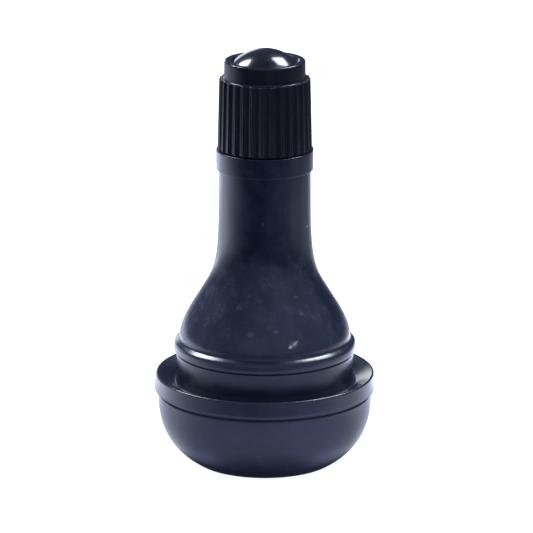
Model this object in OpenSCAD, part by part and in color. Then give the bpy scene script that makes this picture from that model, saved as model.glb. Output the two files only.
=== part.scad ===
// Snap-in tyre valve for a tubeless wheel, with its dust cap screwed on.
// Millimetres, +Z along the stem, origin at the centre of the base's flat underside.

/* [Rubber body] */
// Radius of the flat underside of the base
foot_r = 7.7; // [7.2:0.1:7.8]
// Largest radius of the bowl-shaped base, under the flange
bowl_r = 11.68; // [11.6:0.02:11.8]
// Radius of the flange's lower edge
flange_r = 12.1; // [12:0.05:12.2]
// Height of the flange's lower edge
flange_z = 8.1; // [8:0.05:8.2]
// Height of the flange's top face
flange_top = 9.82; // [9.7:0.02:9.9]
// Radius of the groove's root, which sits in the wheel's hole
groove_r = 9.52; // [9.46:0.02:9.56]
// Height of the bead's lower edge
bead_z = 12.25; // [12.2:0.05:12.3]
// Largest radius of the bead above the groove
bead_r = 9.93; // [9.9:0.01:9.96]
// Radius of the neck
neck_r = 5.02; // [4.96:0.02:5.06]
// Radius of the plain collar at the neck's top
collar_r = 5.29; // [5.2:0.01:5.32]
// Height of the collar's lower edge
collar_z = 32.75; // [32.6:0.05:33]
// Height of the collar's top face
collar_top = 34.9; // [34.8:0.05:34.9]

/* [Stem] */
// Height of the stem's mouth
mouth_z = 42.5; // [42.4:0.05:42.5]
// Radius of the cap thread's crests
cap_thread_r = 3.85; // [3.8:0.01:3.86]
// Radius of the stem inside the rubber
shank_r = 3.5; // [3.3:0.05:3.7]
// Radius of the foot flange that anchors the stem in the rubber
anchor_r = 5.6; // [5:0.1:6]
// Radius of the core's thread bore
core_thread_r = 2.6; // [2.59:0.005:2.63]
// Radius of the air passage below the core
air_r = 1.65; // [1.5:0.05:1.8]

/* [Cap] */
// Height of the cap's lower edge
cap_z = 34.98; // [34.96:0.01:35.05]
// Radius over the ridges at the lower edge
ridge_r = 5.1; // [5.06:0.02:5.16]
// Radius over the ridges at the upper edge
ridge_top_r = 4.92; // [4.88:0.02:5]
// Height of the ridges' upper edge
ridge_top = 42.72; // [42.6:0.02:42.8]
// Number of flutes
flutes = 30; // [24:1:32]
// Depth of a flute
flute_d = 0.25; // [0.15:0.01:0.3]
// Radius of the plain crown
crown_r = 4.39; // [4.35:0.01:4.42]
// Height of the crown's rim
rim_z = 44.68; // [44.62:0.02:44.72]
// Height of the dome's top
dome_z = 45.9; // [45.86:0.01:45.94]
// Radius of the dome's sphere
dome_r = 4.8; // [4.76:0.02:4.84]
// Radius of the threaded bore
cap_bore_r = 3.9; // [3.89:0.01:3.94]

/* [Core] */
// Radius of the plug's thread crests
plug_r = 2.55; // [2.52:0.01:2.56]
// Thickness of the plug's bridge across its flats
bridge_w = 2.2; // [2:0.1:2.6]
// Radius of the pin
pin_r = 0.65; // [0.6:0.01:0.68]
// Height of the pin's tip
pin_top = 42.2; // [42:0.05:42.3]
// Radius of the spring's wire
wire_r = 0.18; // [0.14:0.01:0.2]
// Turns of the spring
coil_turns = 6; // [5:0.5:7]

/* [Hidden] */
$fn = 96;

// Height of the core's conical seat, at its narrow and its wide end, and its radii there
seat_z = 31;
seat_top = 32.3;
seat_r = 1.98;
seat_top_r = 2.42;
// Gap between the gasket and its seat
seat_gap = 0.04;
// Flat top of the core barrel's head, which the spring stands on
head_z = 35.24;
// Underside of the pin's collar, which the spring pushes
pin_collar_z = 39.5;

// Point on a cubic curve with end points a and d and handles b and c
function cubic(a, b, c, d, t) =
    pow(1 - t, 3) * a + 3 * pow(1 - t, 2) * t * b + 3 * (1 - t) * t * t * c + t * t * t * d;
// Points along that curve, both ends included
function curve(a, b, c, d, n = 12) = [for (i = [0 : n]) cubic(a, b, c, d, i / n)];
// Points on an arc of radius r about c, from angle a0 to a1
function arc(c, r, a0, a1, n = 8) =
    [for (i = [0 : n]) let (a = a0 + (a1 - a0) * i / n) [c[0] + r * cos(a), c[1] + r * sin(a)]];

// Outline of the rubber from the underside up to the collar's top
function rubber_outline() = concat(
    [[0, 0]],
    // bowl, rounded at its upper edge
    curve([foot_r, 0], [10.55, 1.7], [bowl_r, 4], [bowl_r, flange_z - 0.6]),
    [[bowl_r, flange_z - 0.5], [bowl_r - 0.04, flange_z - 0.4], [bowl_r - 0.2, flange_z - 0.25]],
    // flange, over a nick at its lower edge, with a rounded upper edge and a dished top face
    [[flange_r - 0.06, flange_z - 0.04], [flange_r, flange_z + 0.04]],
    arc([flange_r - 0.38, flange_top - 0.22], 0.22, 5, 115, 8),
    // groove, with a small fillet at its root and an upper wall that leans out to the bead
    arc([9.92, flange_top - 0.75], 0.28, -59, -176, 8),
    curve([9.63, flange_top - 0.7], [groove_r + 0.03, flange_top + 0.1], [groove_r, flange_top + 0.9], [9.73, bead_z - 0.06], 10),
    [[9.76, bead_z]],
    // bead and the coved ledge on top of it
    [[bead_r - 0.07, bead_z + 0.03], [bead_r - 0.01, bead_z + 0.15], [bead_r, bead_z + 0.45], [bead_r - 0.03, bead_z + 1.06]],
    [[bead_r - 0.07, bead_z + 1.13]],
    curve([9.43, bead_z + 1.46], [9.36, bead_z + 1.51], [9.335, bead_z + 1.62], [9.32, bead_z + 1.95], 6),
    // bell
    curve([9.3, 14.4], [9, 16], [8, 17.45], [7, 19.05]),
    curve([6.95, 19.13], [5.5, 21.45], [neck_r + 0.055, 22.15], [neck_r, 28.9]),
    // neck and collar
    [[neck_r, collar_z - 0.04], [neck_r + 0.05, collar_z], [collar_r - 0.05, collar_z],
     [collar_r, collar_z + 0.05], [collar_r, collar_top - 0.12], [collar_r - 0.12, collar_top], [0, collar_top]]);

// Outside of the brass stem, from its lower end up to its mouth
function stem_outline() = [
    [3.2, 0.8], [3.2, 2.8], [anchor_r, 3.2], [anchor_r, 4.3], [shank_r + 0.4, 5.8], [shank_r, 6.8],
    [shank_r, 15], [shank_r - 0.3, 15.3], [shank_r - 0.3, 16.3], [shank_r, 16.6],
    [shank_r, 19], [shank_r - 0.3, 19.3], [shank_r - 0.3, 20.3], [shank_r, 20.6],
    [shank_r, 33.5], [3.4, 33.6], [3.4, 35.1], [cap_thread_r, 35.5],
    [cap_thread_r, mouth_z - 0.5], [cap_thread_r - 0.5, mouth_z]];

// Inside of the brass stem, from its mouth down to its lower end
function stem_bore() = [
    [2.85, mouth_z], [2.75, mouth_z - 0.1], [2.75, 41.7], [core_thread_r, 41.55],
    [core_thread_r, 35], [seat_top_r, 34.8], [seat_top_r, seat_top], [seat_r, seat_z],
    [seat_r, 19], [air_r, 18.4], [air_r, 1.1], [air_r + 0.3, 0.8]];

// Revolved solid of an outline
module turned(points) { rotate_extrude(angle = 360) polygon(points); }

// Tube swept along a helix about +Z, from height z0 to z1
module coil(r, wire, turns, z0, z1, sides = 8, steps = 14) {
    n = ceil(turns * steps);
    pts = [for (i = [0 : n], j = [0 : sides - 1])
        let (a = 360 * turns * i / n, z = z0 + wire + (z1 - z0 - 2 * wire) * i / n,
             b = 360 * j / sides, q = r + wire * cos(b))
        [q * cos(a), q * sin(a), z + wire * sin(b)]];
    faces = concat(
        [for (i = [0 : n - 1], j = [0 : sides - 1])
            let (k = (j + 1) % sides)
            [i * sides + j, (i + 1) * sides + j, (i + 1) * sides + k, i * sides + k]],
        [[for (j = [0 : sides - 1]) j]],
        [[for (j = [sides - 1 : -1 : 0]) n * sides + j]]);
    polyhedron(points = pts, faces = faces, convexity = 10);
}

// Fluted dust cap with a plain crown and a domed top
module valve_cap() {
    dome_c = dome_z - dome_r;
    draft = atan((ridge_r - ridge_top_r) / (ridge_top - cap_z));
    cut_r = 0.5;
    color([0.05, 0.05, 0.07]) difference() {
        turned(concat(
            [[0, cap_z], [ridge_r - 0.12, cap_z], [ridge_r, cap_z + 0.12],
             [ridge_top_r, ridge_top - 0.12], [ridge_top_r - 0.1, ridge_top],
             [crown_r + 0.02, ridge_top], [crown_r, ridge_top + 0.25]],
            arc([crown_r - 0.2, rim_z - 0.16], 0.16, 0, 90, 6),
            [[3.72, rim_z], [3.6, rim_z - 0.07], [3.5, rim_z - 0.25]],
            [for (a = [45 : -5 : 0]) [dome_r * sin(a), dome_c + dome_r * cos(a)]]));
        // threaded bore, pocket for the seal, and the hollow under the dome
        turned(concat(
            [[0, cap_z - 1], [4.1, cap_z - 1], [4.1, cap_z + 0.1], [cap_bore_r, cap_z + 0.3],
             [cap_bore_r, 42.05], [3.5, 42.45], [3.5, 43.27], [2.95, 43.27]],
            [for (a = [49 : -7 : 0]) [3.9 * sin(a), dome_c + 3.9 * cos(a)]]));
        // flutes, which follow the skirt's draft
        for (i = [0 : flutes - 1])
            rotate([0, 0, 8 + 360 * i / flutes])
                translate([ridge_r - flute_d + cut_r, 0, cap_z])
                    rotate([0, -draft, 0])
                        translate([0, 0, -1]) cylinder(r = cut_r, h = 10, $fn = 32);
    }
}

// Ring that seals the cap on the stem's mouth
module cap_seal() {
    color([0.12, 0.12, 0.13])
        turned([[2.75, 42.6], [2.8, 42.55], [3.4, 42.55], [3.45, 42.6], [3.45, 43.17], [3.4, 43.22], [2.8, 43.22], [2.75, 43.17]]);
}

// Rubber moulding, hollow where the brass stem is bonded in
module rubber_body() {
    color([0.13, 0.14, 0.2]) difference() {
        turned(rubber_outline());
        turned(concat([[0, 0.8]], stem_outline(), [[0, mouth_z]]));
        translate([0, 0, -0.2]) cylinder(r1 = 4, r2 = 2.8, h = 1.2);
    }
}

// Turned brass stem with the air passage through it
module brass_stem() {
    color([0.78, 0.6, 0.28]) turned(concat(stem_outline(), stem_bore()));
}

// Threaded plug of the core, with a flat-sided bridge over its spring chamber
module core_plug() {
    color([0.72, 0.62, 0.36]) difference() {
        union() {
            turned([[0, 34.2], [2.2, 34.2], [2.3, 34.3], [2.3, 35.1], [plug_r, 35.35], [plug_r, 38.2], [2.35, 38.4], [0, 38.4]]);
            intersection() {
                turned([[0, 38], [2.3, 38], [2.3, 40.8], [2.1, 41], [0, 41]]);
                translate([-3, -bridge_w / 2, 37]) cube([6, bridge_w, 5]);
            }
        }
        // lip and chamber that hold the barrel's head, spring chamber, and the pin's hole
        turned([[0, 34], [1.72, 34], [1.72, 34.5], [2, 34.5], [2, 35.3], [1.75, 35.3], [1.75, 39.9], [1.65, 40], [0.8, 40], [0.8, 41.5], [0, 41.5]]);
    }
}

// Barrel of the core, with a head that turns in the plug and a groove for its gasket
module core_barrel() {
    color([0.75, 0.62, 0.34])
        turned([[1.15, 25], [1.35, 25], [1.6, 25.5], [1.6, 30.9], [1.75, 30.9], [1.75, 31.3], [1.5, 31.3], [1.5, 32.9],
                [2, 32.9], [2, 33.3], [1.64, 33.3], [1.64, 34.55], [1.94, 34.55], [1.94, head_z], [1.15, head_z]]);
}

// Conical ring that seals the barrel on the stem's seat
module barrel_gasket() {
    k = (seat_top_r - seat_r) / (seat_top - seat_z);
    color([0.7, 0.16, 0.12])
        turned([[1.5, 31.3], [seat_r + k * (31.3 - seat_z) - seat_gap, 31.3], [seat_top_r - seat_gap, seat_top],
                [seat_top_r - seat_gap, 32.9], [1.5, 32.9]]);
}

// Pin with a collar for the spring and a staked lower end
module core_pin() {
    color([0.72, 0.72, 0.7])
        turned(concat(
            [[0, 23.1], [0.8, 23.1], [0.9, 23.2], [0.9, 23.4], [pin_r, 23.4], [pin_r, pin_collar_z],
             [1.25, pin_collar_z], [1.25, 39.9], [1.2, 39.95], [pin_r, 39.95]],
            arc([pin_r - 0.3, pin_top - 0.3], 0.3, 0, 90, 6), [[0, pin_top]]));
}

// Spring between the barrel's head and the pin's collar
module core_spring() {
    color([0.66, 0.66, 0.68]) coil(1.34, wire_r, coil_turns, head_z + 0.02, pin_collar_z - 0.02);
}

// Cup staked on the pin
module plunger_cup() {
    color([0.74, 0.6, 0.32])
        turned([[pin_r, 23.4], [1.35, 23.4], [1.7, 23.8], [1.7, 24.75], [1.55, 24.75], [1.55, 24.3], [pin_r, 24.3]]);
}

// Ring in the cup that seals under the barrel
module cup_gasket() {
    color([0.1, 0.1, 0.11])
        turned([[pin_r, 24.3], [1.55, 24.3], [1.55, 24.9], [1.48, 24.97], [pin_r, 24.97]]);
}

valve_cap();
cap_seal();
rubber_body();
brass_stem();
core_plug();
core_barrel();
barrel_gasket();
core_pin();
core_spring();
plunger_cup();
cup_gasket();
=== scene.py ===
import math

import bmesh
import bpy
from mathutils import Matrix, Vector


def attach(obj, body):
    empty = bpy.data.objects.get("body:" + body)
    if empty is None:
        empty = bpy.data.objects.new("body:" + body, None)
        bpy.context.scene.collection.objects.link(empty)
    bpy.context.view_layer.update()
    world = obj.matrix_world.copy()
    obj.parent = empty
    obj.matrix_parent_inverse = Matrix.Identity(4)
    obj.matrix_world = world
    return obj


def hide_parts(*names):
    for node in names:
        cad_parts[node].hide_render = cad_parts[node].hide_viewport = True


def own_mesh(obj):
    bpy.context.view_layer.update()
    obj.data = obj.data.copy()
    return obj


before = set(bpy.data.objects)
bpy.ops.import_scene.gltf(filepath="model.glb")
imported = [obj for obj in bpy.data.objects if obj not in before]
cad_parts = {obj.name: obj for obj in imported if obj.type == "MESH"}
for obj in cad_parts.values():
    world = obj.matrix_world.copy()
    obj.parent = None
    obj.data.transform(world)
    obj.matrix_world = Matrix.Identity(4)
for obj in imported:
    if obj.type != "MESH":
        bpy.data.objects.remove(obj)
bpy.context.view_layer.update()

MM = 0.001
TURN = 2 * math.pi
S = bpy.context.scene


# ---------------------------------------------------------------- shapes

def curve(a, b, c, d, n):
    """n + 1 points of a cubic Bezier in the (radius, height) plane."""
    out = []
    for i in range(n + 1):
        t = i / n
        k = ((1 - t) ** 3, 3 * t * (1 - t) ** 2, 3 * t * t * (1 - t), t ** 3)
        out.append(tuple(sum(w * p[j] for w, p in zip(k, (a, b, c, d))) for j in (0, 1)))
    return out


def arc(c, r, a0, a1, n):
    """n + 1 points of a circular arc, in degrees from the outward radius."""
    out = []
    for i in range(n + 1):
        a = math.radians(a0 + (a1 - a0) * i / n)
        out.append((c[0] + r * math.cos(a), c[1] + r * math.sin(a)))
    return out


def run(a, b, n):
    """Points on a straight line, without its last end."""
    return [(a[0] + (b[0] - a[0]) * i / n, a[1] + (b[1] - a[1]) * i / n) for i in range(n)]


def soften(path, n=4, closed=False):
    """Rounds the corners of a line of (r, z) or (r, z, radius) points."""
    out, m = [], len(path)
    for i, p in enumerate(path):
        rad = p[2] if len(p) > 2 else 0
        if rad == 0 or (not closed and i in (0, m - 1)):
            out.append((p[0], p[1]))
            continue
        b = Vector(p[:2])
        u = Vector(path[i - 1][:2]) - b
        v = Vector(path[(i + 1) % m][:2]) - b
        half = u.angle(v) / 2
        cut = min(rad / math.tan(half), 0.46 * u.length, 0.46 * v.length)
        s, e = b + u.normalized() * cut, b + v.normalized() * cut
        for k in range(n + 1):
            t = k / n
            q = s * (1 - t) ** 2 + b * 2 * t * (1 - t) + e * t * t
            out.append((q.x, q.y))
    return out


def even(n):
    return [TURN * i / n for i in range(n)]


def lathe(name, rows, angles, shape=None, ring=False, sharp=38):
    """A closed skin about Z. Each row is (r, z, ...) in mm; shape(row, angle) may bend it; r = 0 is a pole."""
    verts, faces, first = [], [], []
    n, m = len(rows), len(angles)
    for row in rows:
        first.append(len(verts))
        if row[0] == 0:
            verts.append((0, 0, row[1] * MM))
            continue
        for a in angles:
            r, z = shape(row, a) if shape else row[:2]
            verts.append((r * math.cos(a) * MM, r * math.sin(a) * MM, z * MM))
    for i in range(n if ring else n - 1):
        k = (i + 1) % n
        for j in range(m):
            q = (j + 1) % m
            lo, hi = first[i], first[k]
            if rows[i][0] == 0:
                faces.append((lo, hi + q, hi + j))
            elif rows[k][0] == 0:
                faces.append((lo + j, lo + q, hi))
            else:
                faces.append((lo + j, lo + q, hi + q, hi + j))
    me = bpy.data.meshes.new(name)
    me.from_pydata(verts, [], faces)
    finish_mesh(me, sharp)
    ob = bpy.data.objects.new(name, me)
    S.collection.objects.link(ob)
    return ob


def finish_mesh(me, sharp):
    me.validate()
    me.shade_smooth()
    me.set_sharp_from_angle(angle=math.radians(sharp))
    me.update()


def tube(name, points, radius, sides):
    """A round wire along the points, closed at both ends."""
    bm = bmesh.new()
    rings = []
    up = Vector((0, 0, 1))
    n = len(points)
    for i, p in enumerate(points):
        p = Vector(p)
        t = (Vector(points[min(i + 1, n - 1)]) - Vector(points[max(i - 1, 0)])).normalized()
        side = t.cross(up).normalized()
        nor = side.cross(t)
        r = radius[i] if isinstance(radius, list) else radius
        rings.append([bm.verts.new((p + side * (r * math.cos(TURN * k / sides)) + nor * (r * math.sin(TURN * k / sides))) * MM)
                      for k in range(sides)])
    for a, b in zip(rings, rings[1:]):
        for k in range(sides):
            q = (k + 1) % sides
            bm.faces.new((a[k], a[q], b[q], b[k]))
    bm.faces.new(list(reversed(rings[0])))
    bm.faces.new(rings[-1])
    bmesh.ops.recalc_face_normals(bm, faces=bm.faces[:])
    me = bpy.data.meshes.new(name)
    bm.to_mesh(me)
    bm.free()
    finish_mesh(me, 45)
    ob = bpy.data.objects.new(name, me)
    S.collection.objects.link(ob)
    return ob


def step01(x, a, b):
    t = min(1.0, max(0.0, (x - a) / (b - a)))
    return t * t * (3 - 2 * t)


def wave(z, a, pitch):
    """A right-hand screw thread: 0 at the root, 1 at the crest, with narrow flats on both."""
    t = (z / pitch - a / TURN) % 1.0
    tri = (1 - abs(2 * t - 1) - 0.14) / 0.70
    tri = min(1.0, max(0.0, tri))
    return 0.35 * tri + 0.65 * tri * tri * (3 - 2 * tri)


CAP_PITCH = 25.4 / 32       # the valve's outer thread, mm a turn
CORE_PITCH = 25.4 / 36      # the core's thread

# ---------------------------------------------------------------- rubber body

BOWL_R, FLANGE_R, FLANGE_TOP = 11.68, 12.1, 9.82
NECK_R, COLLAR_R, COLLAR_Z, COLLAR_TOP = 5.02, 5.29, 32.75, 34.9

rubber = []
rubber += soften([(3.02, 0.8), (3.8, 0.0, 0.25), (7.7, 0.0)], 5)
rubber += curve((7.7, 0), (10.55, 1.7), (BOWL_R, 4.0), (BOWL_R, 7.42), 40)[1:]
# the moulds' parting line under the flange: the bowl's rounded edge, a nick, then the flange's sharp lower edge
rubber += arc((BOWL_R - 0.27, 7.46), 0.27, 4, 70, 7)
rubber += soften([(11.50, 7.75), (11.48, 7.86, 0.04), (11.52, 8.0, 0.03), (FLANGE_R - 0.03, 8.07, 0.05), (FLANGE_R, 8.2)], 4)
rubber += run((FLANGE_R - 0.005, 8.28), (FLANGE_R - 0.16, 9.6), 8)
rubber += arc((FLANGE_R - 0.33, FLANGE_TOP - 0.17), 0.17, 5, 118, 9)
rubber += run((11.6, 9.765), (10.1, 8.852), 10)
rubber += arc((9.916, 9.068), 0.28, -59, -176, 10)
rubber += curve((9.633, 9.1), (9.55, 9.9), (9.52, 10.7), (9.722, 12.1), 14)
# the second parting line, under the lip
rubber += soften([(9.726, 12.13), (9.733, 12.17, 0.02), (9.58, 12.22, 0.02), (9.60, 12.29, 0.02), (9.86, 12.35, 0.05), (9.92, 12.46)], 3)
rubber += soften([(9.925, 12.52), (9.945, 12.72, 0.5), (9.91, 13.12, 0.6), (9.835, 13.405, 0.09), (9.70, 13.519)], 5)
rubber += run((9.66, 13.547), (9.50, 13.66), 4)
rubber += curve((9.47, 13.681), (9.38, 13.745), (9.34, 13.86), (9.32, 14.2), 10)
rubber += curve((9.3, 14.4), (9, 16), (8, 17.45), (7, 19.05), 26)
rubber += curve((6.95, 19.13), (5.5, 21.45), (NECK_R + 0.055, 22.15), (NECK_R, 28.9), 36)
rubber += run((NECK_R, 29.4), (NECK_R, COLLAR_Z - 0.1), 6)
rubber += soften([(NECK_R, COLLAR_Z - 0.1), (NECK_R, COLLAR_Z, 0.05), (COLLAR_R, COLLAR_Z, 0.03), (COLLAR_R, COLLAR_Z + 0.14)], 4)
rubber += run((COLLAR_R, COLLAR_Z + 0.3), (COLLAR_R, COLLAR_TOP - 0.2), 5)
rubber += soften([(COLLAR_R, COLLAR_TOP - 0.2), (COLLAR_R, COLLAR_TOP, 0.13), (4.7, COLLAR_TOP), (3.42, COLLAR_TOP)], 6)
# inside, bonded to the stem
rubber += [(3.42, 33.6), (3.52, 33.5), (3.52, 20.6), (3.22, 20.3), (3.22, 19.3), (3.52, 19), (3.52, 16.6), (3.22, 16.3),
           (3.22, 15.3), (3.52, 15), (3.52, 6.8), (3.92, 5.8), (5.62, 4.3), (5.62, 3.2), (3.22, 2.8), (3.22, 0.8)]


def settle(row, a):
    """Moulded rubber is never quite true: a few hundredths of a millimetre out of round, less where it seats."""
    r, z = row[0], row[1]
    if r < 4 or z < 0.3:
        return r, z
    soft = 0.012 * math.sin(2 * a + 0.7 + 0.11 * z) + 0.008 * math.sin(3 * a - 1.1 - 0.23 * z) + 0.005 * math.sin(7 * a + 0.9 * z)
    return r + (soft - 0.025) * step01(z, 0.3, 3.0), z


rubber_body = lathe("rubber_body_skin", rubber, even(288), settle, ring=True, sharp=40)

# ---------------------------------------------------------------- brass stem

def fill(z0, z1, step):
    n = max(2, round(abs(z1 - z0) / step))
    return [z0 + (z1 - z0) * i / n for i in range(n + 1)]


stem = [(r, z, "") for r, z in soften(
    [(2.0, 0.8, 0), (3.18, 0.8, 0.1), (3.18, 2.8, 0.05), (5.58, 3.2, 0.1), (5.58, 4.3, 0.1), (3.88, 5.8, 0.1), (3.48, 6.8, 0.1),
     (3.48, 15), (3.18, 15.3), (3.18, 16.3), (3.48, 16.6), (3.48, 19), (3.18, 19.3), (3.18, 20.3), (3.48, 20.6),
     (3.48, 33.5), (3.38, 33.6), (3.38, 34.95), (3.38, 35.2)], 3)]
stem += [(3.42, z, "out") for z in fill(35.26, 42.44, CAP_PITCH / 12)]
stem += [(r, z, "") for r, z in soften([(3.37, 42.48), (3.30, 42.5, 0.04), (2.9, 42.5, 0.05), (2.78, 42.38, 0.05), (2.75, 41.75, 0.05),
                                        (2.64, 41.6)], 3)]
stem += [(2.62, z, "in") for z in fill(41.52, 35.3, CORE_PITCH / 10)]
stem += [(r, z, "") for r, z in soften([(2.62, 35.05), (2.6, 35, 0.05), (2.42, 34.8, 0.05), (2.42, 32.3, 0.08), (1.98, 31, 0.08),
                                        (1.98, 19, 0.1), (1.65, 18.4, 0.1), (1.65, 1.1, 0.08), (1.95, 0.82)], 3)]


def screw_stem(row, a):
    r, z, kind = row
    if kind == "out":
        w = wave(z, a, CAP_PITCH) * step01(z, 35.35, 36.1)
        tip = 3.85 - max(0.0, z - 41.95) * 0.98
        return min(3.42 + 0.43 * w, tip), z
    if kind == "in":
        fade = step01(z, 35.45, 36.1) * (1 - step01(z, 41.1, 41.5))
        return 2.62 - 0.34 * (1 - wave(z, a, CORE_PITCH)) * fade, z
    return r, z


brass_stem = lathe("brass_stem_turned", stem, even(168), screw_stem, ring=True, sharp=34)

# ---------------------------------------------------------------- cap

FLUTES, FLUTE_D, CUT_R, RIDGE_S = 30, 0.25, 0.50, 0.425


def skirt_r(z):
    return 5.10 + (4.92 - 5.10) * (z - 35.1) / (42.6 - 35.1)


def flute_angles():
    """Columns packed on the flutes' edges: 14 for each of the 30 flutes, ridges at 2 degrees + 12 k."""
    half = [0, 0.06, 0.12, 0.18, 0.25, 0.36, 0.54, 0.78]
    offs = [-h for h in reversed(half[1:])] + half
    offs = [o for o in offs if o > -0.999] + [1.0]
    out = []
    for k in range(FLUTES):
        for o in offs[:-1]:
            out.append(math.radians(2 + 12 * k + 6 * o))
        out.append(math.radians(2 + 12 * k + 6))
    return sorted(a % TURN for a in out)


def flute(z, a):
    """The skirt's radius in the flutes: narrow rounded ridges between round-bottomed grooves."""
    R = skirt_r(z)
    u = (math.degrees(a) - 8 + 6) % 12 - 6
    s = abs(math.radians(u) * R)
    d = math.sqrt(max(0.0, CUT_R ** 2 - s * s)) - (CUT_R - FLUTE_D)
    d = 0.5 * (d + math.sqrt(d * d + 0.03 ** 2)) if s < CUT_R else 0.0
    ridge = max(0.0, s - RIDGE_S) / (math.pi * R / FLUTES - RIDGE_S)  # 0 at the ridge's edge, 1 on its crown
    edge = 0.03 * (1 - ridge) ** 2 if s >= RIDGE_S else 0.03
    return R - max(d, edge)


cap = [(r, z, "") for r, z in soften([(4.16, 34.98), (4.4, 34.98), (4.76, 34.98)], 2)]
cap += [(r, z, "f") for r, z in soften([(4.8, 34.98), (5.0, 34.98, 0.05), (5.10, 35.1, 0.06), (skirt_r(35.3), 35.3)], 4)]
cap += [(skirt_r(z), z, "f") for z in fill(35.5, 42.35, 0.42)]
# the flutes' upper edge: a small bevel that follows every ridge and groove
cap += [(skirt_r(42.5), 42.5, "f")] + [(inset, z, "b") for inset, z in ((0.001, 42.66), (0.007, 42.682), (0.02, 42.701), (0.038, 42.713), (0.058, 42.718))]
cap += [(r, z, "") for r, z in soften([(4.52, 42.72), (4.41, 42.72, 0.06), (4.388, 42.9)], 4)]
cap += [(r, z, "") for r, z in run((4.386, 43.1), (4.366, 44.42), 6)]
cap += [(r, z, "") for r, z in arc((4.225, 44.54), 0.14, 3, 90, 9)]
# the rim's flat, the chamfer inside it, and the dome
cap += [(r, z, "") for r, z in soften([(4.12, 44.68), (3.72, 44.68, 0.03), (3.61, 44.62, 0.04), (3.53, 44.425, 0.03), (3.46, 44.425)], 4)]
DOME, DOME_R, DOME_Z = 45.7, 4.8, 45.9 - 4.8
cap += [(DOME_R * math.sin(math.radians(DOME * (1 - i / 26))), DOME_Z + DOME_R * math.cos(math.radians(DOME * (1 - i / 26))), "") for i in range(26)]
cap += [(0, DOME_Z + DOME_R, "")]
# inside: dome, sealing seat, thread
cap += [(0, DOME_Z + 3.9, "")]
cap += [(3.9 * math.sin(math.radians(b)), DOME_Z + 3.9 * math.cos(math.radians(b)), "") for b in (6, 13, 20, 27, 34, 41, 48)]
cap += [(r, z, "") for r, z in soften([(2.95, 43.3), (3.0, 43.27), (3.5, 43.27, 0.05), (3.5, 42.45, 0.1), (3.93, 42.05, 0.05), (3.97, 41.95)], 3)]
cap += [(3.97, z, "t") for z in fill(41.85, 35.45, CAP_PITCH / 8)]
cap += [(r, z, "") for r, z in soften([(3.98, 35.36), (4.02, 35.28, 0.04), (4.12, 35.1, 0.04), (4.14, 35.0)], 3)]


def mould_cap(row, a):
    r, z, kind = row
    if kind == "f":
        return min(r, flute(min(max(z, 35.1), 42.6), a)), z
    if kind == "b":
        return flute(42.6, a) - r, z
    if kind == "t":
        fade = step01(z, 35.6, 36.3) * (1 - step01(z, 41.2, 41.8))
        return 3.97 - 0.42 * (1 - wave(z, a, CAP_PITCH)) * fade, z
    return r, z


# the dome's two poles split the skin: outside and inside are one closed surface because both poles are joined at the wall
split = next(i for i, row in enumerate(cap) if row[0] == 0)


def cap_mesh():
    """Outside from the mouth to the top pole, then the inside from the inner pole back to the mouth."""
    angles = flute_angles()
    outer, inner = cap[:split + 1], cap[split + 1:]
    m = len(angles)
    verts, faces = [], []

    def add(rows):
        first = []
        for row in rows:
            first.append(len(verts))
            if row[0] == 0:
                verts.append((0, 0, row[1] * MM))
                continue
            for a in angles:
                r, z = mould_cap(row, a)
                verts.append((r * math.cos(a) * MM, r * math.sin(a) * MM, z * MM))
        return first

    def bands(rows, first):
        for i in range(len(rows) - 1):
            for j in range(m):
                q = (j + 1) % m
                lo, hi = first[i], first[i + 1]
                if rows[i][0] == 0:
                    faces.append((lo, hi + q, hi + j))
                elif rows[i + 1][0] == 0:
                    faces.append((lo + j, lo + q, hi))
                else:
                    faces.append((lo + j, lo + q, hi + q, hi + j))

    fo, fi = add(outer), add(inner)
    bands(outer, fo)
    bands(inner, fi)
    for j in range(m):                                   # the mouth's face joins the two
        q = (j + 1) % m
        faces.append((fi[-1] + j, fi[-1] + q, fo[0] + q, fo[0] + j))
    me = bpy.data.meshes.new("valve_cap_moulded")
    me.from_pydata(verts, [], faces)
    finish_mesh(me, 42)
    ob = bpy.data.objects.new("valve_cap_moulded", me)
    S.collection.objects.link(ob)
    return ob


valve_cap = cap_mesh()

# ---------------------------------------------------------------- the seal, the core and its pin

cap_seal = lathe("cap_seal_ring", soften([(2.77, 42.57, 0.1), (3.43, 42.57, 0.1), (3.43, 43.2, 0.1), (2.77, 43.2, 0.1)], 5, True),
                 even(96), ring=True)

plug = [(r, z, "") for r, z in soften([(1.74, 34.22), (2.2, 34.22, 0.08), (2.2, 35.05, 0.06), (2.12, 35.2, 0.05), (2.14, 35.3)], 3)]
plug += [(2.18, z, "t") for z in fill(35.36, 38.2, CORE_PITCH / 10)]
plug += [(r, z, "") for r, z in soften([(2.16, 38.28), (2.16, 40.6, 0.1), (1.95, 41.0, 0.15), (0.86, 41.0, 0.06), (0.8, 40.9), (0.8, 40.0, 0.04),
                                        (1.1, 39.92), (1.74, 39.9, 0.06), (1.74, 35.4, 0.05), (1.98, 35.25, 0.03), (1.98, 34.55, 0.03),
                                        (1.74, 34.5)], 3)]


def screw_plug(row, a):
    r, z, kind = row
    if kind == "t":
        fade = step01(z, 35.4, 35.9) * (1 - step01(z, 37.7, 38.2))
        return 2.16 + 0.34 * wave(z, a, CORE_PITCH) * fade, z
    return r, z


core_plug = lathe("core_plug_turned", plug, even(120), screw_plug, ring=True, sharp=34)


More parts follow.
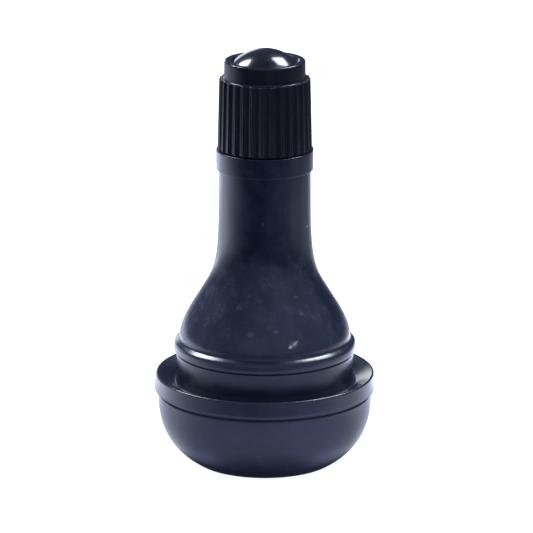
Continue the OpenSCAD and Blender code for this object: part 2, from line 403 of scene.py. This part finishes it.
def block(y0, y1):
    """A milling cut with rounded corners that leaves the key's bridge standing."""
    bm = bmesh.new()
    bmesh.ops.create_cube(bm, size=1)
    for v in bm.verts:
        v.co = Vector((v.co.x * 6 * MM, (y0 + y1) / 2 * MM + v.co.y * (y1 - y0) * MM, (40.5 + v.co.z * 4.2) * MM))
    edges = [e for e in bm.edges if abs(e.verts[0].co.x - e.verts[1].co.x) > 1 * MM and min(v.co.z for v in e.verts) < 39 * MM]
    bmesh.ops.bevel(bm, geom=edges, offset=0.3 * MM, segments=5, affect="EDGES", profile=0.5)
    return bm


cutter_me = bpy.data.meshes.new("cutter")
both = bmesh.new()
for y0, y1 in ((1.1, 3.1), (-3.1, -1.1)):
    one = block(y0, y1)
    tmp = bpy.data.meshes.new("tmp")
    one.to_mesh(tmp)
    one.free()
    both.from_mesh(tmp)
    bpy.data.meshes.remove(tmp)
both.to_mesh(cutter_me)
both.free()
cutter = bpy.data.objects.new("cutter", cutter_me)
S.collection.objects.link(cutter)
mod = core_plug.modifiers.new("bridge", "BOOLEAN")
mod.operation, mod.solver, mod.object = "DIFFERENCE", "EXACT", cutter
bpy.context.view_layer.update()
cut = bpy.data.meshes.new_from_object(core_plug.evaluated_get(bpy.context.evaluated_depsgraph_get()))
core_plug.modifiers.clear()
old = core_plug.data
core_plug.data = cut
bpy.data.meshes.remove(old)
bpy.data.objects.remove(cutter)
bpy.data.meshes.remove(cutter_me)
finish_mesh(core_plug.data, 34)

core_pin = lathe("core_pin_turned", [(0, 23.1)] + soften(
    [(0, 23.1), (0.9, 23.1, 0.12), (0.9, 23.4, 0.06), (0.64, 23.4, 0.05), (0.64, 39.5, 0.05), (1.24, 39.5, 0.06), (1.24, 39.94, 0.06), (0.64, 39.94, 0.05),
     (0.64, 42.08, 0.1), (0.5, 42.2, 0.08), (0, 42.2)], 4)[1:-1] + [(0, 42.2)], even(64))

core_barrel = lathe("core_barrel_turned", soften(
    [(1.15, 25.0, 0.04), (1.35, 25.0, 0.06), (1.6, 25.5, 0.15), (1.6, 30.9, 0.05), (1.74, 30.9, 0.04), (1.74, 31.29, 0.04), (1.49, 31.29, 0.03),
     (1.49, 32.91, 0.03), (1.99, 32.91, 0.05), (1.99, 33.3, 0.05), (1.63, 33.3, 0.05), (1.63, 34.56, 0.04), (1.93, 34.56, 0.03), (1.93, 35.24, 0.05),
     (1.15, 35.24, 0.05)], 3, True), even(72), ring=True)

barrel_gasket = lathe("barrel_gasket_ring", soften(
    [(1.51, 31.32, 0.05), (2.03, 31.32, 0.1), (2.37, 32.3, 0.2), (2.37, 32.88, 0.1), (1.51, 32.88, 0.05)], 4, True), even(72), ring=True)

plunger_cup = lathe("plunger_cup_pressed", soften(
    [(0.66, 23.42, 0.04), (1.35, 23.42, 0.2), (1.69, 23.8, 0.2), (1.69, 24.74, 0.05), (1.56, 24.74, 0.04), (1.56, 24.29, 0.03), (0.66, 24.29, 0.03)],
    4, True), even(72), ring=True)

cup_gasket = lathe("cup_gasket_ring", soften(
    [(0.67, 24.31, 0.05), (1.54, 24.31, 0.05), (1.54, 24.96, 0.12), (0.67, 24.96, 0.08)], 4, True), even(72), ring=True)

WIRE, COIL_LO, COIL_HI, COIL_R, COILS = 0.18, 35.26, 39.48, 1.34, 6
coil = []
STEPS = 40 * COILS
for i in range(STEPS + 1):
    t = i / STEPS
    a = TURN * COILS * t
    ends = 0.5 * (WIRE * 2.1) / (COIL_HI - COIL_LO - 2 * WIRE)
    u = min(1.0, max(0.0, (t - 0.10) / 0.80))
    dead = ends + (1 - 2 * ends) * u if 0.10 < t < 0.90 else (ends * t / 0.10 if t <= 0.10 else 1 - ends * (1 - t) / 0.10)
    z = COIL_LO + WIRE + (COIL_HI - COIL_LO - 2 * WIRE) * dead
    coil.append((COIL_R * math.cos(a), COIL_R * math.sin(a), z))
core_spring = tube("core_spring_wire", coil, WIRE * 0.97, 12)

# ---------------------------------------------------------------- materials

def mat(name):
    m = bpy.data.materials.new(name)
    m.use_nodes = True
    nt = m.node_tree
    nt.nodes.clear()
    return m, nt


class Net:
    """Short names for the nodes used over and over."""

    def __init__(self, nt):
        self.nt = nt
        co = nt.nodes.new("ShaderNodeTexCoord")
        self.mm = self.vec("SCALE", co.outputs["Object"], scale=1000.0)      # object coordinates in millimetres

    def link(self, a, b):
        self.nt.links.new(a, b)

    def put(self, sock, v):
        if isinstance(v, bpy.types.NodeSocket):
            self.link(v, sock)
        else:
            sock.default_value = v

    def vec(self, op, a, b=None, scale=None):
        n = self.nt.nodes.new("ShaderNodeVectorMath")
        n.operation = op
        self.put(n.inputs[0], a)
        if b is not None:
            self.put(n.inputs[1], b)
        if scale is not None:
            n.inputs["Scale"].default_value = scale
        return n.outputs["Value"] if op in ("DISTANCE", "LENGTH", "DOT_PRODUCT") else n.outputs["Vector"]

    def math(self, op, a, b=None, c=None, clamp=False):
        n = self.nt.nodes.new("ShaderNodeMath")
        n.operation, n.use_clamp = op, clamp
        for s, v in zip(n.inputs, (a, b, c)):
            if v is not None:
                self.put(s, v)
        return n.outputs[0]

    def noise(self, scale, detail=3.0, rough=0.55, vec=None, stretch=None, distort=0.0):
        v = vec if vec is not None else self.mm
        if stretch:
            v = self.vec("MULTIPLY", v, stretch)
        n = self.nt.nodes.new("ShaderNodeTexNoise")
        self.link(v, n.inputs["Vector"])
        n.inputs["Scale"].default_value = scale
        n.inputs["Detail"].default_value = detail
        n.inputs["Roughness"].default_value = rough
        n.inputs["Distortion"].default_value = distort
        return n.outputs["Fac"]

    def voronoi(self, scale, vec=None, feature="F1", rand=1.0):
        n = self.nt.nodes.new("ShaderNodeTexVoronoi")
        n.feature = feature
        self.link(vec if vec is not None else self.mm, n.inputs["Vector"])
        n.inputs["Scale"].default_value = scale
        n.inputs["Randomness"].default_value = rand
        return n.outputs["Distance"]

    def ramp(self, x, lo, hi, a=0.0, b=1.0, smooth=True):
        n = self.nt.nodes.new("ShaderNodeMapRange")
        n.interpolation_type = "SMOOTHSTEP" if smooth else "LINEAR"
        n.clamp = True
        self.link(x, n.inputs["Value"])
        for k, v in (("From Min", lo), ("From Max", hi), ("To Min", a), ("To Max", b)):
            self.put(n.inputs[k], v)
        return n.outputs["Result"]

    def mix(self, fac, a, b):
        n = self.nt.nodes.new("ShaderNodeMix")
        n.data_type = "RGBA"
        n.clamp_factor = True
        for key, v in (("Factor", fac), ("A", a), ("B", b)):
            sock = next(s for s in n.inputs if s.name == key and s.type == ("VALUE" if key == "Factor" else "RGBA"))
            if isinstance(v, tuple):
                v = (*v, 1.0)
            self.put(sock, v)
        return next(s for s in n.outputs if s.type == "RGBA")

    def bump(self, height, strength, distance, normal=None):
        n = self.nt.nodes.new("ShaderNodeBump")
        n.inputs["Strength"].default_value = strength
        n.inputs["Distance"].default_value = distance
        self.link(height, n.inputs["Height"])
        if normal is not None:
            self.link(normal, n.inputs["Normal"])
        return n.outputs["Normal"]

    def xyz(self, v):
        n = self.nt.nodes.new("ShaderNodeSeparateXYZ")
        self.link(v, n.inputs[0])
        return n.outputs

    def normal(self):
        return self.nt.nodes.new("ShaderNodeNewGeometry").outputs["Normal"]

    def pointiness(self):
        return self.nt.nodes.new("ShaderNodeNewGeometry").outputs["Pointiness"]

    def surface(self, **kw):
        p = self.nt.nodes.new("ShaderNodeBsdfPrincipled")
        o = self.nt.nodes.new("ShaderNodeOutputMaterial")
        for k, v in kw.items():
            if isinstance(v, tuple):
                v = (*v, 1.0) if len(v) == 3 else v
            self.put(p.inputs[k.replace("_", " ")], v)
        self.link(p.outputs[0], o.inputs["Surface"])
        return p

    def dab(self, point, radius, squeeze=(1, 1, 1)):
        """1 inside a small mark at a point in mm, fading to 0 at its edge."""
        d = self.vec("SUBTRACT", self.mm, point)
        d = self.vec("MULTIPLY", d, squeeze)
        return self.ramp(self.vec("LENGTH", d), radius * 0.35, radius, 1.0, 0.0)


def rubber_material():
    m, nt = mat("moulded_rubber")
    n = Net(nt)
    x, y, z = n.xyz(n.mm)
    up = n.xyz(n.normal())[2]
    cloud = n.noise(0.22, 4, 0.6)
    blot = n.noise(0.62, 5, 0.66, distort=0.15)
    grain = n.noise(9.0, 3, 0.6)
    peel = n.noise(2.1, 3, 0.5)
    rub = n.noise(1.0, 4, 0.6, stretch=(1.6, 1.6, 0.22))
    # a faint bloom on the bell and the bowl, thicker where nothing rubs it
    bell = n.math("MULTIPLY", n.ramp(z, 13.6, 16.5), n.ramp(z, 25.0, 20.5))
    bloom = n.math("MULTIPLY", n.ramp(blot, 0.42, 0.70), n.math("ADD", n.math("MULTIPLY", bell, 0.80), 0.20))
    bloom = n.math("MULTIPLY", bloom, n.ramp(n.noise(3.0, 3, 0.6), 0.36, 0.64, 0.4, 1.0))
    specks = n.ramp(n.voronoi(1.7), 0.10, 0.045)
    specks = n.math("MULTIPLY", specks, n.ramp(n.noise(0.5, 2), 0.50, 0.62))
    col = n.mix(cloud, (0.0022, 0.0030, 0.0090), (0.0042, 0.0056, 0.0150))
    col = n.mix(n.math("MULTIPLY", n.ramp(rub, 0.45, 0.75), 0.5), col, (0.0064, 0.0078, 0.0180))
    # the rubber is paler and bluer from the bowl up to the bell than on the neck
    paler_lower_band = n.math("MULTIPLY", n.ramp(z, 2.2, 6.0), n.ramp(z, 24.0, 11.5))
    col = n.mix(n.math("MULTIPLY", paler_lower_band, n.ramp(cloud, 0.25, 0.75, 0.46, 0.76)), col, (0.0185, 0.0230, 0.0385))
    col = n.mix(n.math("MULTIPLY", bloom, 0.78), col, (0.026, 0.032, 0.047))
    col = n.mix(n.math("MULTIPLY", specks, 0.22), col, (0.10, 0.10, 0.11))
    # handling marks and a painted glint: two ticks on the neck, two smudges on the bell and a speck on the bowl, and on
    # the bell a pale double stroke with a soft halo that paints a glint
    torn = n.noise(5.0, 3, 0.6)
    marks_and_glint = None
    for point, radius, squeeze, amount in (
            ((-0.21, -5.01, 27.72), 0.26, (1.6, 1, 0.8), 0.05), ((4.54, -2.14, 26.76), 0.26, (0.7, 0.7, 2.0), 0.32),
            ((3.05, -8.53, 15.32), 0.60, (0.9, 0.6, 1.1), 0.12), ((-1.58, -8.50, 16.46), 0.48, (0.9, 0.6, 1.3), 0.07),
            ((1.22, -8.56, 16.74), 0.45, (0.8, 0.6, 1.7), 0.10), ((-6.62, -9.34, 4.4), 0.22, (1, 1, 1), 0.12),
            ((3.33, -5.64, 19.83), 0.32, (0.8, 0.8, 1.8), 0.07), ((-2.78, -6.53, 18.85), 0.42, (0.9, 0.8, 1.2), 0.06),
            ((3.96, -6.43, 18.2), 0.36, (0.9, 0.8, 1.2), 0.06), ((-6.77, -3.5, 18.05), 0.30, (1, 0.8, 1), 0.06)):
        m1 = n.math("MULTIPLY", n.dab(point, radius, squeeze), amount)
        marks_and_glint = m1 if marks_and_glint is None else n.math("MAXIMUM", marks_and_glint, m1)
    # the painted glint on the bell: two short slanted strokes, then a dot at each end
    for centre, reach, radius, amount in (((2.78, -8.67, 15.12), 0.09, 0.23, 0.75), ((3.26, -8.45, 15.42), 0.13, 0.24, 0.62)):
        for k in (-1.0, -0.33, 0.33, 1.0):                  # a short slanted stroke
            point = (centre[0] + 0.73 * reach * k, centre[1] + 0.41 * reach * k, centre[2] + 0.545 * reach * k)
            marks_and_glint = n.math("MAXIMUM", marks_and_glint, n.math("MULTIPLY", n.dab(point, radius, (1, 0.6, 1.1)), amount))
    for point, radius, squeeze, amount in (((3.50, -8.34, 15.60), 0.20, (0.9, 0.6, 1.1), 0.42), ((2.60, -8.74, 15.02), 0.12, (0.9, 0.6, 1.1), 0.30)):
        m1 = n.math("MULTIPLY", n.dab(point, radius, squeeze), amount)
        marks_and_glint = m1 if marks_and_glint is None else n.math("MAXIMUM", marks_and_glint, m1)
    marks_and_glint = n.math("MULTIPLY", marks_and_glint, n.ramp(torn, 0.30, 0.55))
    # pale colour for the marks; on the bell this is a painted glint, not a mark
    col = n.mix(marks_and_glint, col, (0.44, 0.45, 0.46))
    rough = n.math("ADD", n.ramp(blot, 0.25, 0.75, 0.20, 0.245), n.ramp(peel, 0.3, 0.7, -0.015, 0.02))
    rough = n.math("ADD", rough, n.math("MULTIPLY", bloom, 0.06))
    rough = n.math("ADD", rough, n.math("MULTIPLY", marks_and_glint, 0.3))
    root = n.math("MULTIPLY", n.ramp(z, 9.75, 9.45), n.ramp(n.vec("LENGTH", n.vec("MULTIPLY", n.mm, (1, 1, 0))), 11.55, 11.35))
    root = n.math("MULTIPLY", n.math("MULTIPLY", root, n.ramp(z, 8.4, 8.6)), n.ramp(y, -3.0, -5.5))
    rough = n.math("ADD", rough, n.math("MULTIPLY", root, n.ramp(blot, 0.3, 0.7, 0.38, 0.48)))
    nor = n.bump(grain, 0.07, 0.02 * MM)
    nor = n.bump(peel, 0.07, 0.05 * MM, nor)
    nor = n.bump(n.math("MULTIPLY", specks, 1.0), 0.3, 0.02 * MM, nor)
    n.surface(Base_Color=col, Roughness=rough, Normal=nor, Specular_IOR_Level=0.42)
    return m


def plastic_material():
    m, nt = mat("moulded_plastic")
    n = Net(nt)
    cloud = n.noise(0.35, 3, 0.55)
    fine = n.noise(14.0, 2, 0.5)
    rub = n.noise(1.3, 4, 0.6, stretch=(2.2, 2.2, 0.3))
    edge = n.ramp(n.pointiness(), 0.53, 0.62)
    col = n.mix(cloud, (0.0040, 0.0040, 0.0070), (0.0075, 0.0075, 0.0120))
    col = n.mix(n.math("MULTIPLY", n.math("MULTIPLY", edge, n.ramp(rub, 0.35, 0.7)), 0.6), col, (0.030, 0.032, 0.045))
    rough = n.math("ADD", n.ramp(rub, 0.3, 0.75, 0.14, 0.22), n.ramp(fine, 0.3, 0.7, -0.01, 0.015))
    nor = n.bump(fine, 0.05, 0.01 * MM)
    nor = n.bump(n.noise(1.6, 2, 0.5), 0.05, 0.04 * MM, nor)
    n.surface(Base_Color=col, Roughness=rough, Normal=nor, Specular_IOR_Level=0.5)
    return m


def brass_material(name, bright, dull, rough0, turned):
    m, nt = mat(name)
    n = Net(nt)
    x, y, z = n.xyz(n.mm)
    tarnish = n.noise(0.55, 5, 0.62, distort=0.5)
    spots = n.noise(2.6, 4, 0.6)
    fine = n.noise(1.0, 3, 0.6, stretch=(0.6, 0.6, 22.0))
    col = n.mix(n.ramp(tarnish, 0.35, 0.72), bright, dull)
    col = n.mix(n.math("MULTIPLY", n.ramp(spots, 0.58, 0.72), 0.45), col, (0.24, 0.135, 0.045))
    rough = n.math("ADD", n.ramp(tarnish, 0.3, 0.75, rough0, rough0 + 0.14), n.ramp(fine, 0.3, 0.7, -0.03, 0.04))
    nor = n.bump(fine, turned, 0.012 * MM)
    n.surface(Base_Color=col, Roughness=rough, Normal=nor, Metallic=1.0)
    return m


def steel_material():
    m, nt = mat("spring_wire")
    n = Net(nt)
    a = n.noise(3.0, 4, 0.6)
    col = n.mix(a, (0.36, 0.37, 0.39), (0.52, 0.53, 0.55))
    n.surface(Base_Color=col, Roughness=n.ramp(a, 0.3, 0.7, 0.22, 0.36), Metallic=1.0, Normal=n.bump(n.noise(12.0, 2), 0.08, 0.01 * MM))
    return m


def soft_material(name, dark, light, rough):
    m, nt = mat(name)
    n = Net(nt)
    a = n.noise(1.4, 4, 0.6)
    col = n.mix(a, dark, light)
    n.surface(Base_Color=col, Roughness=n.ramp(a, 0.3, 0.7, rough, rough + 0.15), Normal=n.bump(n.noise(8.0, 3), 0.12, 0.02 * MM))
    return m


RUBBER, PLASTIC = rubber_material(), plastic_material()
STEM_BRASS = brass_material("turned_stem_brass", (0.70, 0.47, 0.19), (0.50, 0.31, 0.11), 0.22, 0.25)
CORE_BRASS = brass_material("turned_core_brass", (0.76, 0.55, 0.26), (0.58, 0.39, 0.16), 0.20, 0.20)
PIN_BRASS = brass_material("drawn_pin_brass", (0.78, 0.60, 0.31), (0.62, 0.44, 0.20), 0.18, 0.12)
STEEL = steel_material()
SEAL = soft_material("seal_rubber", (0.012, 0.012, 0.014), (0.022, 0.022, 0.025), 0.5)
GASKET = soft_material("gasket_plastic", (0.42, 0.045, 0.03), (0.55, 0.075, 0.05), 0.32)

# ---------------------------------------------------------------- which piece stands for which node, and what it rides on

for piece, node, body, slot, material in (
        (rubber_body, "rubber_body", "valve_body", "body_rubber", RUBBER),
        (brass_stem, "brass_stem", "valve_body", "stem_brass", STEM_BRASS),
        (valve_cap, "valve_cap", "cap", "cap_plastic", PLASTIC),
        (cap_seal, "cap_seal", "cap_ring", "seal_rubber", SEAL),
        (core_plug, "core_plug", "plug", "core_brass", CORE_BRASS),
        (core_barrel, "core_barrel", "core", "core_brass", CORE_BRASS),
        (barrel_gasket, "barrel_gasket", "core", "gasket_plastic", GASKET),
        (core_spring, "core_spring", "core", "spring_steel", STEEL),
        (core_pin, "core_pin", "pin", "pin_brass", PIN_BRASS),
        (plunger_cup, "plunger_cup", "pin", "core_brass", CORE_BRASS),
        (cup_gasket, "cup_gasket", "pin", "seal_rubber", SEAL)):
    piece.data.materials.clear()
    piece.data.materials.append(material)
    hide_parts(node)
    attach(piece, body)

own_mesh(core_spring)

# ---------------------------------------------------------------- floor, light and camera

def plane(name, cx, cy, z, w, h):
    me = bpy.data.meshes.new(name)
    me.from_pydata([(cx - w / 2, cy - h / 2, z), (cx + w / 2, cy - h / 2, z), (cx + w / 2, cy + h / 2, z), (cx - w / 2, cy + h / 2, z)], [],
                   [(0, 1, 2, 3)])
    ob = bpy.data.objects.new(name, me)
    S.collection.objects.link(ob)
    return ob


floor = plane("floor", 0, 0, -0.00003, 8, 8)
floor.visible_glossy = False
m, nt = mat("pale_floor")
diff = nt.nodes.new("ShaderNodeBsdfDiffuse")
diff.inputs["Color"].default_value = (0.30, 0.30, 0.30, 1)
glow = nt.nodes.new("ShaderNodeEmission")
glow.inputs["Color"].default_value = (1, 1, 1, 1)
glow.inputs["Strength"].default_value = 0.95
add = nt.nodes.new("ShaderNodeAddShader")
out = nt.nodes.new("ShaderNodeOutputMaterial")
nt.links.new(diff.outputs[0], add.inputs[0])
nt.links.new(glow.outputs[0], add.inputs[1])
nt.links.new(add.outputs[0], out.inputs["Surface"])
floor.data.materials.append(m)

TINT = (0.77, 0.91, 1.50, 1)

# what the gloss sees of the table: a white board, brightest by the object and to its left, that ends a little in front of it
board = plane("reflector_board", 0, 0, -0.0001, 3, 3)
for way in ("camera", "diffuse", "shadow", "transmission", "volume_scatter"):
    setattr(board, "visible_" + way, False)
m, nt = mat("reflector_board")
m.cycles.emission_sampling = "NONE"
n = Net(nt)
x, y, z = n.xyz(n.mm)
far = n.vec("LENGTH", n.mm)
aim_at = n.vec("NORMALIZE", n.mm)                       # the way from the object to this spot of the board
back_left = n.vec("DOT_PRODUCT", aim_at, (-0.60, 0.80, 0.0))
away = n.ramp(far, 32.0, 70.0)                            # 0 close by, 1 farther out
lit = n.ramp(y, -95.0, -22.0, 0.03, 1.0)
lit = n.math("MULTIPLY", lit, n.ramp(x, 30.0, 80.0, 1.0, 0.42))
lit = n.math("MULTIPLY", lit, n.math("MULTIPLY_ADD", n.math("MULTIPLY", n.ramp(back_left, 0.45, 0.93), n.ramp(far, 26.0, 60.0)), 0.65, 1.0))
lit = n.math("MULTIPLY", lit, n.ramp(n.vec("DOT_PRODUCT", aim_at, (-0.50, -0.866, 0.0)), 0.50, 0.95, 1.0, 0.55))
front_right = n.ramp(n.vec("DOT_PRODUCT", aim_at, (0.80, -0.60, 0.0)), 0.80, 0.97)
lit = n.math("MULTIPLY", lit, n.math("MULTIPLY_ADD", n.math("MULTIPLY", front_right, away), 0.35, 1.0))
lit = n.math("ADD", lit, n.math("MULTIPLY", n.math("MULTIPLY", away, n.ramp(n.vec("DOT_PRODUCT", aim_at, (0.52, -0.854, 0.0)), 0.82, 0.96)), 0.12))
near_right = n.math("MULTIPLY", n.ramp(n.vec("DOT_PRODUCT", aim_at, (0.75, -0.66, 0.0)), 0.60, 0.92), n.math("SUBTRACT", 1.0, away))
lit = n.math("MULTIPLY", lit, n.math("MULTIPLY_ADD", near_right, -0.30, 1.0))
sides = n.ramp(n.vec("DOT_PRODUCT", aim_at, (0.0, -1.0, 0.0)), -0.1, 0.7, 1.0, 0.0)
past = n.math("MULTIPLY", n.ramp(far, 28.0, 45.0), n.ramp(far, 110.0, 70.0))     # a paler stretch farther out at the sides
lit = n.math("MULTIPLY", lit, n.math("MULTIPLY_ADD", n.math("MULTIPLY", past, n.ramp(n.vec("DOT_PRODUCT", aim_at, (0.95, 0.30, 0.0)), 0.55, 0.95)), 0.9, 1.0))
ring = n.math("MULTIPLY", n.ramp(far, 31.0, 18.0, 0.0, -0.25), sides)
lit = n.math("MULTIPLY", lit, n.math("ADD", ring, 1.0))
lit = n.math("MULTIPLY", lit, n.ramp(n.vec("DOT_PRODUCT", aim_at, (0.36, 0.93, 0.0)), 0.84, 0.97, 1.0, 1.35))
behind = n.math("MULTIPLY", n.ramp(n.vec("DOT_PRODUCT", aim_at, (-0.05, 1.0, 0.0)), 0.86, 0.97), n.ramp(far, 40.0, 80.0))
lit = n.math("MULTIPLY", lit, n.math("MULTIPLY_ADD", behind, -0.45, 1.0))
mid = n.math("MULTIPLY", n.ramp(far, 39.0, 46.0), n.ramp(far, 62.0, 50.0))         # two paler patches that light the flange's sides
deep = n.math("MULTIPLY", n.ramp(far, 62.0, 73.0), n.ramp(far, 121.0, 112.0))       # and a dimmer stretch past them
for way, dim, lift, drop in (((-0.80, 0.60, 0.0), (-0.62, 0.785, 0.0), 0.45, -0.43), ((0.80, 0.60, 0.0), (0.62, 0.785, 0.0), 0.05, -0.52)):
    patch = n.math("MULTIPLY", mid, n.ramp(n.vec("DOT_PRODUCT", aim_at, way), 0.93, 0.99))
    lit = n.math("MULTIPLY", lit, n.math("MULTIPLY_ADD", patch, lift, 1.0))
    patch = n.math("MULTIPLY", deep, n.ramp(n.vec("DOT_PRODUCT", aim_at, dim), 0.90, 0.97))
    lit = n.math("MULTIPLY", lit, n.math("MULTIPLY_ADD", patch, drop, 1.0))
lit = n.math("MULTIPLY", lit, n.math("MULTIPLY_ADD", n.math("MULTIPLY", n.ramp(back_left, 0.45, 0.93), n.ramp(far, 108.0, 128.0)), 0.5, 1.0))
lit = n.math("MULTIPLY", lit, n.ramp(far, 115.0, 178.0, 1.0, 0.2))
ahead = n.ramp(n.vec("DOT_PRODUCT", aim_at, (0.0, -1.0, 0.0)), 0.72, 0.95)           # 1 straight in front of the foot
# painted contact shadow: the board's glow dims close round the foot, most of all straight in front of it
painted_foot_shadow = n.math("MULTIPLY", n.ramp(far, 8.4, 14.0, 0.05, 1.0), ahead)
painted_foot_shadow = n.math("ADD", painted_foot_shadow, n.math("MULTIPLY", n.ramp(far, 8.4, 11.4, 0.05, 1.0), n.math("SUBTRACT", 1.0, ahead)))
lit = n.math("MULTIPLY", lit, painted_foot_shadow)
glow = nt.nodes.new("ShaderNodeEmission")
calm = n.ramp(n.vec("DOT_PRODUCT", aim_at, (0.0, -1.0, 0.0)), 0.75, 0.1, 0.0, 0.6)     # less blue at the sides and behind
n.link(n.mix(n.math("MAXIMUM", calm, n.ramp(back_left, 0.55, 0.95, 0.0, 0.6)), TINT[:3], (0.98, 0.99, 1.06)), glow.inputs["Color"])
n.link(n.math("MULTIPLY", lit, 1.5), glow.inputs["Strength"])
out = nt.nodes.new("ShaderNodeOutputMaterial")
n.link(glow.outputs[0], out.inputs["Surface"])
board.data.materials.append(m)


def softbox(name, direction, distance, w, h, power, colour):
    li = bpy.data.lights.new(name, "AREA")
    li.shape, li.size, li.size_y = "RECTANGLE", w, h
    li.energy, li.color = power, colour
    ob = bpy.data.objects.new(name, li)
    d = Vector(direction).normalized()
    aim = Vector((0, 0, 0.022))
    ob.location = aim + d * distance
    ob.rotation_euler = (-d).to_track_quat("-Z", "Y").to_euler()
    S.collection.objects.link(ob)
    return ob


softbox("softbox_left", (-0.56, 0.385, 0.733), 0.40, 0.12, 0.15, 1.73, (0.82, 0.90, 1.0))
softbox("softbox_right", (0.43, 0.38, 0.82), 0.40, 0.145, 0.15, 2.01, (0.82, 0.90, 1.0))

world = bpy.data.worlds.new("studio")
S.world = world
world.use_nodes = True
nt = world.node_tree
nt.nodes.clear()
n = Net(nt)
co = nt.nodes.new("ShaderNodeTexCoord")
d = co.outputs["Generated"]
up = n.xyz(d)[2]
screen = n.ramp(n.vec("DOT_PRODUCT", d, (-0.235, 0.966, 0.08)), 0.968, 0.986)
side = n.ramp(n.vec("DOT_PRODUCT", d, (-1.0, 0.0, 0.0)), 0.2, 0.9)
glow = n.math("MULTIPLY", screen, 2.6)
glow = n.math("ADD", glow, n.math("MULTIPLY", side, 0.25))
glow = n.math("ADD", glow, n.ramp(n.vec("DOT_PRODUCT", d, (0.10, -0.93, 0.35)), 0.55, 0.97, 0.0, 0.42))
glow = n.math("ADD", glow, n.ramp(n.vec("DOT_PRODUCT", d, (0.80, -0.25, 0.55)), 0.60, 0.95, 0.0, 0.42))
glow = n.math("ADD", glow, n.ramp(up, 0.15, 0.85, 0.08, 0.17))
env = nt.nodes.new("ShaderNodeBackground")
n.link(n.mix(screen, TINT[:3], (0.88, 1.0, 1.06)), env.inputs["Color"])
n.link(glow, env.inputs["Strength"])
plain = nt.nodes.new("ShaderNodeBackground")
plain.inputs["Color"].default_value = (1, 1, 1, 1)
plain.inputs["Strength"].default_value = 1.0
path = nt.nodes.new("ShaderNodeLightPath")
pick = nt.nodes.new("ShaderNodeMixShader")
n.link(path.outputs["Is Camera Ray"], pick.inputs[0])
n.link(env.outputs[0], pick.inputs[1])
n.link(plain.outputs[0], pick.inputs[2])
out = nt.nodes.new("ShaderNodeOutputWorld")
n.link(pick.outputs[0], out.inputs["Surface"])

S.view_settings.view_transform = "Standard"
S.view_settings.look = "None"

cam = bpy.data.cameras.new("camera")
cam.sensor_width, cam.sensor_fit = 36.0, "HORIZONTAL"
cam.lens = 4429.5 / 533 * 36.0
cam.shift_x = 1.65 / 533
cam.clip_start, cam.clip_end = 0.02, 20.0
eye = bpy.data.objects.new("camera", cam)
tilt = math.radians(15.77)
aim = Vector((0, 0, 0.021650))
eye.location = aim + 0.4813 * Vector((0, -math.cos(tilt), math.sin(tilt)))
eye.rotation_euler = (math.pi / 2 - tilt, 0, 0)
S.collection.objects.link(eye)
S.camera = eye
